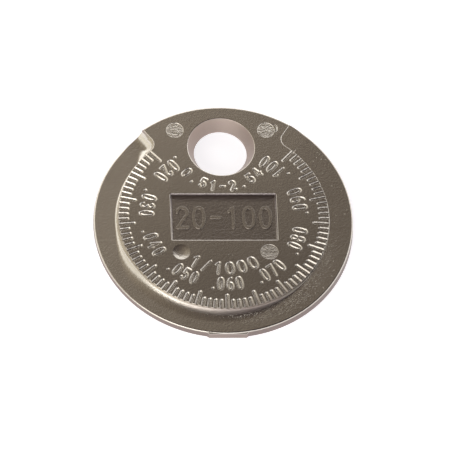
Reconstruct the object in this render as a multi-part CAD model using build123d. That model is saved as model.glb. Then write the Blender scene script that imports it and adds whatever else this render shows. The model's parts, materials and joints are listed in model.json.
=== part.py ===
from build123d import *
import os
from math import atan2, cos, degrees, radians, sin, sqrt, tan

# A coin-shaped ramp gauge for spark plug gaps, die cast in one piece.
# It lies on its plain back, face up. The origin is at the middle of the back,
# +Z points up and the hole is at 12 o'clock, towards +Y. Sizes are in millimetres.

# Inch sizes of the graduated scale
inch = 25.4
thousandths_per_inch = 1000
thinnest_inches = 0.020
thickest_inches = 0.100
line_step_inches = 0.001
long_line_step_inches = 0.005
number_step_inches = 0.010

# Disc
disc_diameter = 44.5
rim_draft = 4.0
rim_edge_radius = 0.20
back_edge_break = 0.12

# Raised hub and the ramp that rises round it, with a level land beyond each end of the scale
ramp_width = 4.25
hub_step_at_thick_end = 0.21
hub_wall_draft = 8.0
cove_radius_thin_end = 1.2
cove_radius_thick_end = 0.1
scale_span = 273.2
thin_land_angle = 6.1
thick_land_angle = 10.4
end_corner_radius = 1.7

# Hole for opening a gap and for a key ring
hole_mouth_diameter = 11.5
hole_land_diameter = 9.1
hole_land_height = 0.4
hole_edge_radius = 0.15
hole_to_rim = 2.5

# Graduation lines, cut into the hub and open at its edge
line_width = 0.50
line_depth = 0.20
long_line_length = 2.8
short_line_length = 1.75

# Numbers beside every tenth line, measured between the middles of their strokes
digit_height = 2.20
digit_width = 0.98
digit_stroke = 0.40
digit_pitch = 1.60
digit_depth = 0.15
digits_to_line = 0.7
dot_width = 0.50
dot_to_digit = 1.18

# Sunk panel with the range in thousandths of an inch, standing up from its floor
panel_width = 18.2
panel_length = 9.35
panel_depth = 0.40
panel_draft = 10.0
range_side_margin = 0.80
range_end_margin = 2.40
range_digit_width = 1.75
range_stroke = 0.62
range_rise = 0.22

# Marks left by the four ejector pins, of which the lower left one is a dimple
pin_diameter = 3.0
pin_depth = 0.12
pin_to_hole = 0.60
pin_above_hole_center = 3.35
pin_to_panel = 0.78
lower_pin_x = 7.5
dimple_depth = 0.25

# Stub where the metal ran into the mould, trimmed straight
gate_width = 6.8
gate_below_rim_edge = 0.32
gate_root = 2.0

# How far cutting shapes run past what they cut, and how closely the ramp is drawn
over = 1.0
ramp_sections_per_long_line = 2

# Values that follow from the sizes above
disc_radius = disc_diameter / 2
hub_radius = disc_radius - ramp_width
thin_floor = thinnest_inches * inch
thick_floor = thickest_inches * inch
hub_height = thick_floor + hub_step_at_thick_end
line_count = round((thickest_inches - thinnest_inches) / line_step_inches) + 1
lines_per_long = round(long_line_step_inches / line_step_inches)
lines_per_number = round(number_step_inches / line_step_inches)
line_angle = scale_span / (line_count - 1)
thin_line_angle = 270 - scale_span / 2
thick_line_angle = thin_line_angle + scale_span
thin_wall_angle = thin_line_angle - thin_land_angle
thick_wall_angle = thick_line_angle + thick_land_angle
number_middle_radius = (hub_radius - long_line_length - digits_to_line
                        - (digit_height + digit_stroke) / 2)
hole_center_y = disc_radius - hole_to_rim - hole_mouth_diameter / 2
upper_pin_x = hole_mouth_diameter / 2 + pin_to_hole + pin_diameter / 2
upper_pin_y = hole_center_y + pin_above_hole_center
lower_pin_y = -panel_length / 2 - pin_to_panel - pin_diameter / 2
gate_height = (thin_floor + thick_floor) / 2 - gate_below_rim_edge

# Middle lines of the digits on a square that is one unit wide and one unit high
DIGIT_STROKES = {
    "1": [[(.2, .8), (.6, 1), (.6, 0)]],
    "2": [[(0, .75), (.25, 1), (.75, 1), (1, .75), (1, .6), (0, 0), (1, 0)]],
    "3": [[(0, .85), (.25, 1), (.75, 1), (1, .77), (.7, .54)],
          [(.7, .54), (1, .27), (.75, 0), (.25, 0), (0, .15)]],
    "4": [[(.72, 0), (.72, 1), (0, .32), (1, .32)]],
    "5": [[(.95, 1), (.1, 1), (.05, .56), (.7, .6), (1, .32), (.74, 0), (.25, 0), (0, .15)]],
    "6": [[(.85, 1), (.25, .8), (0, .35), (.25, 0), (.75, 0), (1, .3), (.72, .58), (.1, .5)]],
    "7": [[(0, 1), (1, 1), (.38, 0)]],
    "8": [[(.5, .54), (.08, .77), (.3, 1), (.7, 1), (.92, .77), (.5, .54)],
          [(.5, .54), (0, .27), (.25, 0), (.75, 0), (1, .27), (.5, .54)]],
    "9": [[(.15, 0), (.75, .2), (1, .65), (.75, 1), (.25, 1), (0, .7), (.28, .42), (.9, .5)]],
    "-": [[(.1, .5), (.9, .5)]],
}


def thousandths(inches):
    return round(inches * thousandths_per_inch)


def rim_radius_at(height):
    return disc_radius - height * tan(radians(rim_draft))


def disc_blank():
    """The full disc with drafted rim and broken edges, before anything is cut."""
    top_radius = rim_radius_at(hub_height)
    back = Line((0, 0), (disc_radius - back_edge_break, 0))
    low = Line(back @ 1, (rim_radius_at(back_edge_break), back_edge_break))
    high_start = (rim_radius_at(hub_height - rim_edge_radius), hub_height - rim_edge_radius)
    rim = Line(low @ 1, high_start)
    high = RadiusArc(rim @ 1, (top_radius - rim_edge_radius, hub_height), -rim_edge_radius)
    top = Line(high @ 1, (0, hub_height))
    axis_line = Line(top @ 1, (0, 0))
    profile = make_face(Plane.XZ * Wire([back, low, rim, high, top, axis_line]))
    return revolve(profile, axis=Axis.Z)


def recess_section(angle, floor, cove):
    """Section of what the ramp leaves open: hub wall, cove, floor and rounded rim edge."""
    lean = radians(hub_wall_draft)
    foot = hub_radius + (hub_height - floor) * tan(lean)
    tangent = cove / tan((radians(90) + lean) / 2)
    wall_top = (hub_radius - over * tan(lean), hub_height + over)
    wall_end = (foot - tangent * sin(lean), floor + tangent * cos(lean))
    cove_middle = (radians(180) + lean + radians(270)) / 2
    cove_point = (foot + tangent + cove * cos(cove_middle), floor + cove + cove * sin(cove_middle))
    floor_start = (foot + tangent, floor)
    floor_end = (rim_radius_at(floor) - rim_edge_radius, floor)
    edge_end = (rim_radius_at(floor - rim_edge_radius), floor - rim_edge_radius)
    outside = disc_radius + over
    pieces = [
        Line(wall_top, wall_end),
        ThreePointArc(wall_end, cove_point, floor_start),
        Line(floor_start, floor_end),
        RadiusArc(floor_end, edge_end, rim_edge_radius),
        Line(edge_end, (outside, floor - rim_edge_radius)),
        Line((outside, floor - rim_edge_radius), (outside, hub_height + over)),
        Line((outside, hub_height + over), wall_top),
    ]
    return Rot(0, 0, angle) * (Plane.XZ * Wire(pieces))


def ramp_recess():
    """The ramp, which rises evenly with the angle from the thinnest to the thickest line."""
    stations = ramp_sections_per_long_line * (line_count - 1) // lines_per_long
    sections = []
    for i in range(stations + 1):
        share = i / stations
        floor = thin_floor + share * (thick_floor - thin_floor)
        cove = cove_radius_thin_end + share * (cove_radius_thick_end - cove_radius_thin_end)
        sections.append(recess_section(thin_line_angle + share * scale_span, floor, cove))
    return Solid.make_loft(sections)


def wedge(first_angle, second_angle):
    """Flat triangle from the middle of the disc that covers the angles between the two."""
    reach = 2 * disc_diameter
    rays = [(reach * cos(radians(a)), reach * sin(radians(a))) for a in (first_angle, second_angle)]
    return make_face(Polyline([(0, 0)] + rays, close=True))


def end_pocket(wall_angle, line_angle_at_end, floor, cove):
    """Level land beyond the last line, with a rounded corner and a coved, drafted wall."""
    along = 1 if line_angle_at_end > wall_angle else -1
    spare_angle = degrees(3 * end_corner_radius / hub_radius)
    far_angle = line_angle_at_end + along * spare_angle
    ring = Circle(disc_radius + over) - Circle(hub_radius)
    plan = ring & wedge(wall_angle, far_angle)
    corner = Vector(hub_radius * cos(radians(wall_angle)), hub_radius * sin(radians(wall_angle)))
    plan = fillet(plan.vertices().sort_by_distance(corner)[0], end_corner_radius)
    pocket = extrude(Pos(0, 0, hub_height) * plan, amount=floor - hub_height, taper=hub_wall_draft)
    floor_edges = pocket.edges().group_by(Axis.Z)[0]
    far_ray = Vector(cos(radians(far_angle)), sin(radians(far_angle)))
    wall_edges = [e for e in floor_edges
                  if (e @ 0.5).length < disc_radius + over / 2 and abs((e @ 0.5).cross(far_ray).Z) > over]
    pocket = fillet(wall_edges, cove) + extrude(Pos(0, 0, hub_height) * plan, amount=over)
    kept = wedge(wall_angle - along * spare_angle, line_angle_at_end)
    return pocket & extrude(kept, amount=hub_height + 2 * over)


def land_rim_edge(wall_angle, line_angle_at_end, floor, cove):
    """Ring segment that rounds the rim edge of a level land as the ramp's section does."""
    along = 1 if line_angle_at_end > wall_angle else -1
    lean = radians(hub_wall_draft)
    wall_reach = (hub_height - floor) * tan(lean) + cove / tan((radians(90) + lean) / 2)
    foot_angle = wall_angle + along * degrees(wall_reach / disc_radius)
    start = (rim_radius_at(floor) - rim_edge_radius, floor)
    end = (rim_radius_at(floor - rim_edge_radius), floor - rim_edge_radius)
    outside = disc_radius + over
    pieces = [
        RadiusArc(start, end, rim_edge_radius),
        Line(end, (outside, end[1])),
        Line((outside, end[1]), (outside, floor + over)),
        Line((outside, floor + over), (start[0], floor + over)),
        Line((start[0], floor + over), start),
    ]
    low, high = sorted((foot_angle, line_angle_at_end))
    profile = make_face(Rot(0, 0, low) * (Plane.XZ * Wire(pieces)))
    return revolve(profile, axis=Axis.Z, revolution_arc=high - low)


def hole_cutter():
    """The tapered hole, with a short straight land at the back and a rounded mouth."""
    land = hole_land_diameter / 2
    mouth = hole_mouth_diameter / 2
    slope = atan2(mouth - land, hub_height - hole_land_height)
    tangent = hole_edge_radius * tan((radians(90) - slope) / 2)
    cone_end = (mouth - tangent * sin(slope), hub_height - tangent * cos(slope))
    face_end = (mouth + tangent, hub_height)
    pieces = [
        Line((0, -over), (land, -over)),
        Line((land, -over), (land, hole_land_height)),
        Line((land, hole_land_height), cone_end),
        RadiusArc(cone_end, face_end, hole_edge_radius),
        Line(face_end, (face_end[0], hub_height + over)),
        Line((face_end[0], hub_height + over), (0, hub_height + over)),
        Line((0, hub_height + over), (0, -over)),
    ]
    profile = make_face(Plane.XZ * Wire(pieces))
    return Pos(0, hole_center_y, 0) * revolve(profile, axis=Axis.Z)


def gate_stub():
    """The trimmed stub, flat where the disc's edge would have been."""
    middle_y = -disc_radius + gate_root / 2
    return Pos(0, middle_y, gate_height / 2) * Box(gate_width, gate_root, gate_height)


def cut_corners(width, height):
    """Flat rectangle round the origin that is cut to an octagon at its ends."""
    cut = min(width, height) * (1 - sqrt(1 / 2))
    return chamfer(Rectangle(width, height).vertices(), cut)


def stroke_bar(start, end, stroke):
    """One straight stretch of a stroke, which reaches half its width past both points."""
    run = Vector(end) - Vector(start)
    middle = (Vector(start) + Vector(end)) / 2
    turn = Rot(0, 0, degrees(atan2(run.Y, run.X)))
    return Pos(middle.X, middle.Y) * turn * cut_corners(run.length + stroke, stroke)


def line_cutter(length):
    """One graduation line along +X, open past the hub's edge."""
    inner = hub_radius - length + line_width / 2
    outer = hub_radius + over / 2
    shape = Pos(0, 0, hub_height - line_depth) * stroke_bar((inner, 0), (outer, 0), line_width)
    return extrude(shape, amount=line_depth + over)


def graduation_lines():
    """All the lines, with every fifth one long."""
    long_line = line_cutter(long_line_length)
    short_line = line_cutter(short_line_length)
    cutters = []
    for i in range(line_count):
        cutter = long_line if i % lines_per_long == 0 else short_line
        cutters.append(Rot(0, 0, thin_line_angle + i * line_angle) * cutter)
    return cutters


def digit(character, width, height, stroke):
    """Flat outline of one character, centred on the origin, with its top towards +Y."""
    if character == "0":
        outer = cut_corners(width + stroke, height + stroke)
        return outer - cut_corners(width - stroke, height - stroke)
    bars = []
    for points in DIGIT_STROKES[character]:
        spots = [((x - .5) * width, (y - .5) * height) for x, y in points]
        bars += [stroke_bar(p, q, stroke) for p, q in zip(spots, spots[1:])]
    return Sketch() + bars


def number_cutters(text, middle_angle):
    """A dot and the digits, bent round the dial with their tops towards the middle."""
    dot_drop = (digit_height + digit_stroke - dot_width) / 2
    shapes = [Pos(0, -dot_drop) * cut_corners(dot_width, dot_width)]
    places = [-dot_to_digit]
    for i, character in enumerate(text):
        shapes.append(digit(character, digit_width, digit_height, digit_stroke))
        places.append(i * digit_pitch)
    middle = (places[0] + places[-1]) / 2
    cutters = []
    for shape, place in zip(shapes, places):
        angle = middle_angle + degrees((place - middle) / number_middle_radius)
        spot = Rot(0, 0, angle) * Pos(number_middle_radius, 0, hub_height - digit_depth)
        cutters.append(extrude(spot * Rot(0, 0, 90) * shape, amount=digit_depth + over))
    return cutters


def scale_numbers():
    """The numbers of the scale, one at every tenth line."""
    cutters = []
    for i in range(0, line_count, lines_per_number):
        text = f"{thousandths(thinnest_inches + i * line_step_inches):03d}"
        cutters += number_cutters(text, thin_line_angle + i * line_angle)
    return cutters


def panel_cutter():
    """The sunk panel, leaving the range standing on its floor."""
    plan = Pos(0, 0, hub_height) * Rectangle(panel_width, panel_length)
    sunk = extrude(plan, amount=-panel_depth, taper=panel_draft) + extrude(plan, amount=over)
    text = f"{thousandths(thinnest_inches)}-{thousandths(thickest_inches)}"
    first_x = -panel_width / 2 + range_side_margin + (range_digit_width + range_stroke) / 2
    pitch = -2 * first_x / (len(text) - 1)
    height = panel_length - 2 * range_end_margin - range_stroke
    for i, character in enumerate(text):
        shape = digit(character, range_digit_width, height, range_stroke)
        spot = Pos(first_x + i * pitch, 0, hub_height - panel_depth - over)
        sunk -= extrude(spot * shape, amount=over + range_rise)
    return sunk


def pin_marks():
    """Three flat ejector marks and one dimple, all sunk slightly into the face."""
    places = [(-upper_pin_x, upper_pin_y), (upper_pin_x, upper_pin_y), (lower_pin_x, lower_pin_y)]
    flat = Cylinder(pin_diameter / 2, pin_depth + over)
    marks = [Pos(x, y, hub_height + (over - pin_depth) / 2) * flat for x, y in places]
    radius = ((pin_diameter / 2) ** 2 + dimple_depth ** 2) / (2 * dimple_depth)
    ball = Sphere(radius)
    marks.append(Pos(-lower_pin_x, lower_pin_y, hub_height - dimple_depth + radius) * ball)
    return marks


def gauge_disc():
    """The finished casting."""
    lands = [
        (thin_wall_angle, thin_line_angle, thin_floor, cove_radius_thin_end),
        (thick_wall_angle, thick_line_angle, thick_floor, cove_radius_thick_end),
    ]
    casting = disc_blank() - ramp_recess()
    for land in lands:
        casting -= end_pocket(*land)
        casting -= land_rim_edge(*land)
    casting += gate_stub()
    casting -= [hole_cutter(), panel_cutter()] + pin_marks()
    casting -= graduation_lines()
    return casting - scale_numbers()


os.makedirs("parts", exist_ok=True)
gauge = gauge_disc()
export_step(gauge, "parts/gauge_disc.step")
print(f"gauge_disc {gauge.volume:.1f} mm3, {len(gauge.solids())} solid, valid {gauge.is_valid}")
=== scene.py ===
# %% [markdown]
# # A gap gauge, cast in one piece
#
# The gauge is a coin of zinc, die cast in one shot and plated with nickel. Its rim is a ramp that
# climbs round a raised hub, so that its thickness, read on the hub, tells the gap that it fits.
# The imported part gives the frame, in metres: the gauge lies on its back, +Z up, hole towards +Y.

import json
from math import asin, atan2, cos, degrees, pi, radians, sin, sqrt, tan
from random import Random

import bmesh
import bpy
from mathutils import Matrix, Vector

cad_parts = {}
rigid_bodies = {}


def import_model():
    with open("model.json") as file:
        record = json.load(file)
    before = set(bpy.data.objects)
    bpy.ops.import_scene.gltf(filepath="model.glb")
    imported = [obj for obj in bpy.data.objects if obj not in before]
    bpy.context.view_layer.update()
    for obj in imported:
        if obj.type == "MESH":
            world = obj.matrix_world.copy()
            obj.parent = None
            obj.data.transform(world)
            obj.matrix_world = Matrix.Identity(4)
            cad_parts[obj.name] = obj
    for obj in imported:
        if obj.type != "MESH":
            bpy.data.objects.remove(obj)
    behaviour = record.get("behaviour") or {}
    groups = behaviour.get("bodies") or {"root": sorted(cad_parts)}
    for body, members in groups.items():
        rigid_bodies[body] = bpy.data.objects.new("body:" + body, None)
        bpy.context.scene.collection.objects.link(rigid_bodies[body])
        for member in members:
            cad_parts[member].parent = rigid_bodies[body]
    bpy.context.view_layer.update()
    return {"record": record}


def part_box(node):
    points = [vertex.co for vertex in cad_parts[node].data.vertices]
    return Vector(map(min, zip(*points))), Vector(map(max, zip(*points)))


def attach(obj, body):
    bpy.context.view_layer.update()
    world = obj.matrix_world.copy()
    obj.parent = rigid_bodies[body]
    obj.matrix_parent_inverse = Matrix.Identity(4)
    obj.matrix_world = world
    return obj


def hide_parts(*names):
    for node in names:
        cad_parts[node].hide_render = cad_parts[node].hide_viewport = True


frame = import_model()
low_corner, high_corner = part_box("gauge_disc")
print("the part measures", [round(1000 * side, 2) for side in high_corner - low_corner], "mm")

# %% [markdown]
# ## Sizes
#
# The frame gives the height of the face and the radius of the disc. The rest are the real sizes
# of the casting, each named once, where it is first needed. They are in millimetres, because
# Blender's cutting tools work best on shapes some units across; the finished casting is scaled
# down to metres in one step. The ramp is 0.020 inch thick at the first line and 0.100 at the last.

# %% Name the sizes
mm = 0.001
inch = 25.4
face_height = high_corner.z / mm
disc_radius = high_corner.x / mm
ramp_width = 4.25
hub_radius = disc_radius - ramp_width
thin_floor = 0.020 * inch
thick_floor = 0.100 * inch
line_count = 81
scale_span = radians(273.2)
line_step = scale_span / (line_count - 1)
thin_line_angle = radians(270) - scale_span / 2
thick_line_angle = thin_line_angle + scale_span
print("lines every", round(degrees(line_step), 3), "degrees")

# %% [markdown]
# ## Picking before each step
#
# Blender's operators act on all that is selected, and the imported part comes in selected. So each
# step of this lesson begins by deselecting everything, as one would by hand.

# %% Helpers for picking
def start_fresh():
    """Leave edit mode and deselect everything."""
    if bpy.context.mode != "OBJECT":
        bpy.ops.object.mode_set(mode="OBJECT")
    bpy.ops.object.select_all(action="DESELECT")


def pick(piece):
    """Make one object the only selected and active one."""
    start_fresh()
    piece.select_set(True)
    bpy.context.view_layer.objects.active = piece


def face_outwards():
    """In edit mode, turn all faces outwards and go back to object mode."""
    bpy.ops.mesh.select_all(action="SELECT")
    bpy.ops.mesh.normals_make_consistent(inside=False)
    bpy.ops.object.mode_set(mode="OBJECT")


# %% [markdown]
# ## One way to make every shape
#
# A mould for such a part is cut with turning and engraving tools, so nearly every shape is a
# section carried along a path. A bevelled curve keeps one section all the way, but here the
# sections change. The helper lofts them by hand: it adds a many-sided face, and then extrudes it
# from loop to loop. A number on each corner, which extruding copies, tells which point of the
# next loop the new corner goes to.

# %% Loft a solid
weld_distance = 1e-4


def loft(name, loops, ring=False):
    """Extrude a many-sided face from loop to loop, and join the ends of a ring."""
    corners = len(loops[0])
    start_fresh()
    bpy.ops.mesh.primitive_circle_add(vertices=corners, fill_type="NGON")
    solid = bpy.context.object
    solid.name = name
    bpy.ops.object.mode_set(mode="EDIT")
    cage = bmesh.from_edit_mesh(solid.data)
    place = cage.verts.layers.int.new("place")
    for number, corner in enumerate(cage.verts):
        corner[place] = number
        corner.co = loops[0][number]
    for loop in loops[1:]:
        bpy.ops.mesh.extrude_region()
        cage = bmesh.from_edit_mesh(solid.data)
        place = cage.verts.layers.int["place"]
        for corner in [v for v in cage.verts if v.select]:
            corner.co = loop[corner[place]]
    if ring:
        bpy.ops.mesh.select_all(action="DESELECT")
        cage = bmesh.from_edit_mesh(solid.data)
        for face in cage.faces:
            if len(face.verts) == corners:
                face.select = True
        bpy.ops.mesh.delete(type="ONLY_FACE")
        bpy.ops.mesh.select_all(action="SELECT")
        bpy.ops.mesh.remove_doubles(threshold=weld_distance)
    face_outwards()
    return solid


# %% [markdown]
# ## Round shapes
#
# The disc, the hole and the pins' marks are round, as if made on a lathe. They could be spun from
# a profile, but a stack of circles, each extruded and scaled from the last one, has no seam.

# %% Turn a solid
def turned(name, profile, middle=(0, 0), corners=96):
    """Stack level circles: each is extruded from the last one and scaled to its radius."""
    start_fresh()
    radius, height = profile[0]
    bpy.ops.mesh.primitive_circle_add(vertices=corners, radius=radius, fill_type="NGON",
                                      location=(middle[0], middle[1], height))
    solid = bpy.context.object
    solid.name = name
    bpy.ops.object.mode_set(mode="EDIT")
    for (radius, height), (next_radius, next_height) in zip(profile, profile[1:]):
        move = {"value": (0, 0, next_height - height)}
        bpy.ops.mesh.extrude_region_move(TRANSFORM_OT_translate=move)
        bpy.ops.transform.resize(value=(next_radius / radius, next_radius / radius, 1))
    face_outwards()
    bpy.ops.object.transform_apply(location=True, rotation=False, scale=False)
    return solid


# %% [markdown]
# ## Cutting and adding
#
# The mould's makers cut each feature with its own tool, and so does this script: a tool is
# modelled, merged into the casting by a Boolean modifier and used up. The Manifold solver is
# fast and leaves no open edges where both solids are closed.

# %% Merge solids
def merge_into(solid, tool, operation):
    """Add a tool to a solid or cut it away, and use the tool up."""
    pick(solid)
    modifier = solid.modifiers.new("merge", "BOOLEAN")
    modifier.operation = operation
    modifier.solver = "MANIFOLD"
    modifier.object = tool
    bpy.ops.object.modifier_apply(modifier=modifier.name)
    bpy.data.objects.remove(tool)


def put_away(tools):
    """Delete tools that were only copied."""
    for tool in tools:
        bpy.data.objects.remove(tool)


def tell(what):
    """Print what was done and how many faces the casting has now."""
    print(what, "-", len(casting.data.polygons), "faces")


# %% [markdown]
# ## The blank
#
# The casting starts as a plain round, as thick as the hub everywhere. Its rim leans in by four
# degrees, so that it leaves the mould, and both its edges are rounded. A bevelled cylinder would
# do for that, but stacked circles can go on over the face in rings, and a cut into many small
# faces comes out cleaner than one into a big face.

# %% Turn the blank
rim_lean = radians(4)
rim_edge_radius = 0.34
back_edge_radius = 0.12
rim_turns = (86, 64, 43, 21, 0)
back_turns = [radians(a) for a in (0, 30, 60, 86)]
ring_radii = (20.8, 19.4, 18.2, 17, 15.8, 14.6, 13.4, 12.2, 11, 9.8, 8.6, 7, 5, 3)
disc_corners = 288


def rim_radius_at(height):
    """Radius of the leaning rim at a height."""
    return disc_radius - height * tan(rim_lean)


def edge_points(corner_distance, top, radius, lean, turns):
    """Points of a rounding between a level top and a wall, by their turn away from the top."""
    middle = corner_distance - radius * (1 - sin(lean)) / cos(lean)
    return [(middle + radius * sin(radians(a)), top - radius + radius * cos(radians(a))) for a in turns]


rim_rounding = edge_points(rim_radius_at(face_height), face_height, rim_edge_radius, rim_lean, rim_turns)
back_rounding = [(disc_radius - back_edge_radius * (1 - sin(a)), back_edge_radius * (1 - cos(a)))
                 for a in back_turns]
blank_profile = back_rounding + rim_rounding + [(radius, face_height) for radius in ring_radii]
casting = turned("gauge_disc_casting", blank_profile, corners=disc_corners)
tell("blank turned")

# %% [markdown]
# ## How the ramp climbs
#
# The floor of the recess round the hub climbs evenly, but the corner where the hub's wall meets
# it changes on the way. At the thin end the wall runs out in a scoop. Then the corner is tight,
# on the left a wide, shallow cove joins wall and floor, and past the bottom of the disc the
# corner is sharp. A bevel has one width, so wall and cove are points that are worked out for any
# angle. The hub's upper edge is slightly rounded, and the cutter starts beside that rounding, a
# hair above the face, so that it leaves no sliver.

# %% Work out the wall and the floor
hub_wall_lean = radians(8)
hub_edge_radius = 0.13
hub_edge_turns = (16, 34, 54, 74)
scoop_cove = 2.1
upper_cove = 0.45
left_cove = 3.0
thick_end_cove = 0.10
cove_steps = 12
steep_slope = radians(82)
slope_drop = radians(36)
hub_start = (0.11, 0.015)
clear = 0.6


def eased(share, first, last):
    """0 before the first share, 1 after the last one, and an easy curve between them."""
    t = min(max((share - first) / (last - first), 0), 1)
    return t * t * (3 - 2 * t)


def wall_profile(floor, cove, slope):
    """Distance from the hub's edge and height, down the wall and round the cove to the floor."""
    points = edge_points(0, face_height, hub_edge_radius, hub_wall_lean, hub_edge_turns)
    start = (points[0][0] - hub_start[0], face_height + hub_start[1])
    rise = cove * (1 - cos(slope))
    foot = (face_height - floor - rise) * tan(hub_wall_lean)
    bend = [slope * (1 - i / cove_steps) for i in range(cove_steps + 1)]
    coved = [(foot + cove * (sin(slope) - sin(a)), floor + cove * (1 - cos(a))) for a in bend]
    return [(start[0], face_height + clear), start] + points + coved


def climb(angle):
    """Floor height of the recess at an angle, and the radius and the first slope of its cove."""
    share = min(max((angle - thin_line_angle) / scale_span, 0), 1)
    floor = thin_floor + share * (thick_floor - thin_floor)
    cove = scoop_cove + (upper_cove - scoop_cove) * eased(share, 0.0, 0.03)
    cove += (left_cove - cove) * eased(share, 0.18, 0.34)
    cove += (thick_end_cove - cove) * eased(share, 0.47, 0.70)
    return floor, cove, steep_slope - slope_drop * eased(share, 0.19, 0.34)


print("the ramp climbs from", thin_floor, "to", thick_floor, "mm")

# %% [markdown]
# ## The ramp
#
# The ramp is what measures: it is as thick as the gap that it just fills. A turned cutter can't
# climb, so the tool that clears the recess is lofted through a section for every small step of
# the scale's angle.

# %% Cut the ramp
overshoot = 2
ramp_steps = 220
lap = radians(0.1)


def at_angle(points, angle):
    """Stand a flat list of radius and height points up at an angle round the axis."""
    return [Vector((r * cos(angle), r * sin(angle), z)) for r, z in points]


def ramp_section(angle):
    """Section of the recess, closed well outside the disc."""
    floor, cove, slope = climb(angle)
    outside = disc_radius + overshoot
    inner = [(hub_radius + d, z) for d, z in wall_profile(floor, cove, slope)]
    return at_angle(inner + [(outside, floor), (outside, face_height + clear)], angle)


ramp_angles = [thin_line_angle - lap]
ramp_angles += [thin_line_angle + scale_span * i / ramp_steps for i in range(ramp_steps + 1)]
ramp_angles.append(thick_line_angle + lap)
merge_into(casting, loft("ramp_cutter", [ramp_section(a) for a in ramp_angles]), "DIFFERENCE")
tell("ramp cut")

# %% [markdown]
# ## The level lands at both ends
#
# Beyond its last line each end of the ramp runs level up to a wall that crosses the rim. A
# corner of 1.7 mm joins that wall to the hub. Here the wall turns in plan, so the pocket is a
# loft of plan outlines, each one moved in from the wall by the same profile as the hub's. It is
# cut off at the last line, where it meets the ramp exactly.

# %% Cut the lands
thin_wall_angle = thin_line_angle - radians(6.1)
thick_wall_angle = thick_line_angle + radians(10.4)
corner_radius = 1.7
least_corner_radius = 0.05
corner_steps = 14
land_steps = 10
past_line = radians(4)
far_reach = 1.1


def land_outline(wall_angle, line_angle, inset, height):
    """Plan outline of a land, moved in by the inset from its wall and from the hub."""
    side = 1 if line_angle > wall_angle else -1
    out = Vector((cos(wall_angle), sin(wall_angle)))
    along = Vector((-sin(wall_angle), cos(wall_angle))) * side
    radius = max(corner_radius - inset, least_corner_radius)
    middle_radius = hub_radius + inset + radius
    middle = out * sqrt(middle_radius ** 2 - (inset + radius) ** 2) + along * (inset + radius)
    corner_turn = asin((inset + radius) / middle_radius)
    far = line_angle + side * past_line
    reach = disc_radius + overshoot
    points = [out * reach + along * inset]
    for i in range(corner_steps + 1):
        turn = (radians(90) - corner_turn) * i / corner_steps
        points.append(middle - along * radius * cos(turn) - out * radius * sin(turn))
    near = wall_angle + side * corner_turn
    for i in range(1, land_steps + 1):
        angle = near + (far - near) * i / land_steps
        points.append(Vector((cos(angle), sin(angle))) * (hub_radius + inset))
    points.append(Vector((cos(far), sin(far))) * reach * far_reach)
    return [Vector((p.x, p.y, height)) for p in points]


def land_cutter(wall_angle, line_angle):
    """The pocket of one land, cut off at the plane of its last line."""
    profile = wall_profile(*climb(line_angle))
    loops = [land_outline(wall_angle, line_angle, d, z) for d, z in profile]
    pocket = loft("land_cutter", loops)
    side = 1 if line_angle > wall_angle else -1
    normal = Vector((-sin(line_angle), cos(line_angle), 0)) * side
    pick(pocket)
    bpy.ops.object.mode_set(mode="EDIT")
    bpy.ops.mesh.select_all(action="SELECT")
    bpy.ops.mesh.bisect(plane_co=(0, 0, 0), plane_no=normal, use_fill=True, clear_outer=True)
    face_outwards()
    return pocket


merge_into(casting, land_cutter(thin_wall_angle, thin_line_angle), "DIFFERENCE")
merge_into(casting, land_cutter(thick_wall_angle, thick_line_angle), "DIFFERENCE")
tell("lands cut")

# %% [markdown]
# ## The rounded rim of the ramp
#
# The ramp's outer edge is what slides between a plug's electrodes, and it is rounded by a third
# of a millimetre, less beside the end walls. A bevel has one width and stops badly at those
# walls, so a thin ring with a hollow rounded corner follows the climbing edge and takes it off.

# %% Round the ramp's rim
least_rounding = 0.12
rounding_run = radians(9)
ramp_edge_turns = (14, 32, 51, 70)
ring_start = (0.13, 0.016)
ring_leave = (0.05, 0.20)
ring_width = 1
rim_steps = 230


def rim_edge_section(angle):
    """Section of the ring that rounds the outer edge at an angle."""
    floor = climb(angle)[0]
    from_wall = min(angle - thin_foot_angle, thick_foot_angle - angle)
    grown = eased(from_wall, 0, rounding_run)
    radius = rim_edge_radius * (least_rounding + (1 - least_rounding) * grown)
    rounding = edge_points(rim_radius_at(floor), floor, radius, rim_lean, ramp_edge_turns)
    start = (rounding[0][0] - ring_start[0], floor + ring_start[1])
    last = rounding[-1]
    leave = (last[0] + ring_leave[0], last[1] - ring_leave[1])
    outside = disc_radius + ring_width
    return at_angle([start] + rounding + [leave, (outside, leave[1]), (outside, start[1])], angle)


def foot_turn(line_angle):
    """Angle that an end wall and its cove take up at the rim."""
    return wall_profile(*climb(line_angle))[-1][0] / disc_radius


thin_foot_angle = thin_wall_angle + foot_turn(thin_line_angle)
thick_foot_angle = thick_wall_angle - foot_turn(thick_line_angle)
rim_span = thick_foot_angle - thin_foot_angle
rim_angles = [thin_foot_angle + rim_span * i / rim_steps for i in range(rim_steps + 1)]
merge_into(casting, loft("rim_cutter", [rim_edge_section(a) for a in rim_angles]), "DIFFERENCE")
tell("rim rounded")

# %% [markdown]
# ## The hole
#
# The hole takes the key ring, and its edge bends a plug's side electrode open. It widens from
# 9.1 mm at the back to 11.5 mm at the face, with a rounded mouth. Its place and its lower end are
# a mount in the record. A cone would do, but stacked circles also give the mouth and the very
# faint rings that the turned mould pin has left on the wall.

# %% Cut the hole
key_hole = next(mount for mount in frame["record"]["mounts"] if mount["name"] == "key_hole")
hole_middle = Vector(key_hole["pos_m"][:2]) / mm
hole_land_radius = key_hole["dims"]["r_mm"]
hole_land_height = key_hole["dims"]["length_mm"]
hole_mouth_radius = 5.75
mouth_edge_radius = 0.24
mouth_turns = [radians(a) for a in (12, 30, 48, 62)]
mouth_start = (0.1, 0.014)
back_break = [(0, 0.06), (0.1, -0.04), (0.1, -clear)]
hole_corners = 128
wall_rings = 9
ring_depth = 0.006


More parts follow.
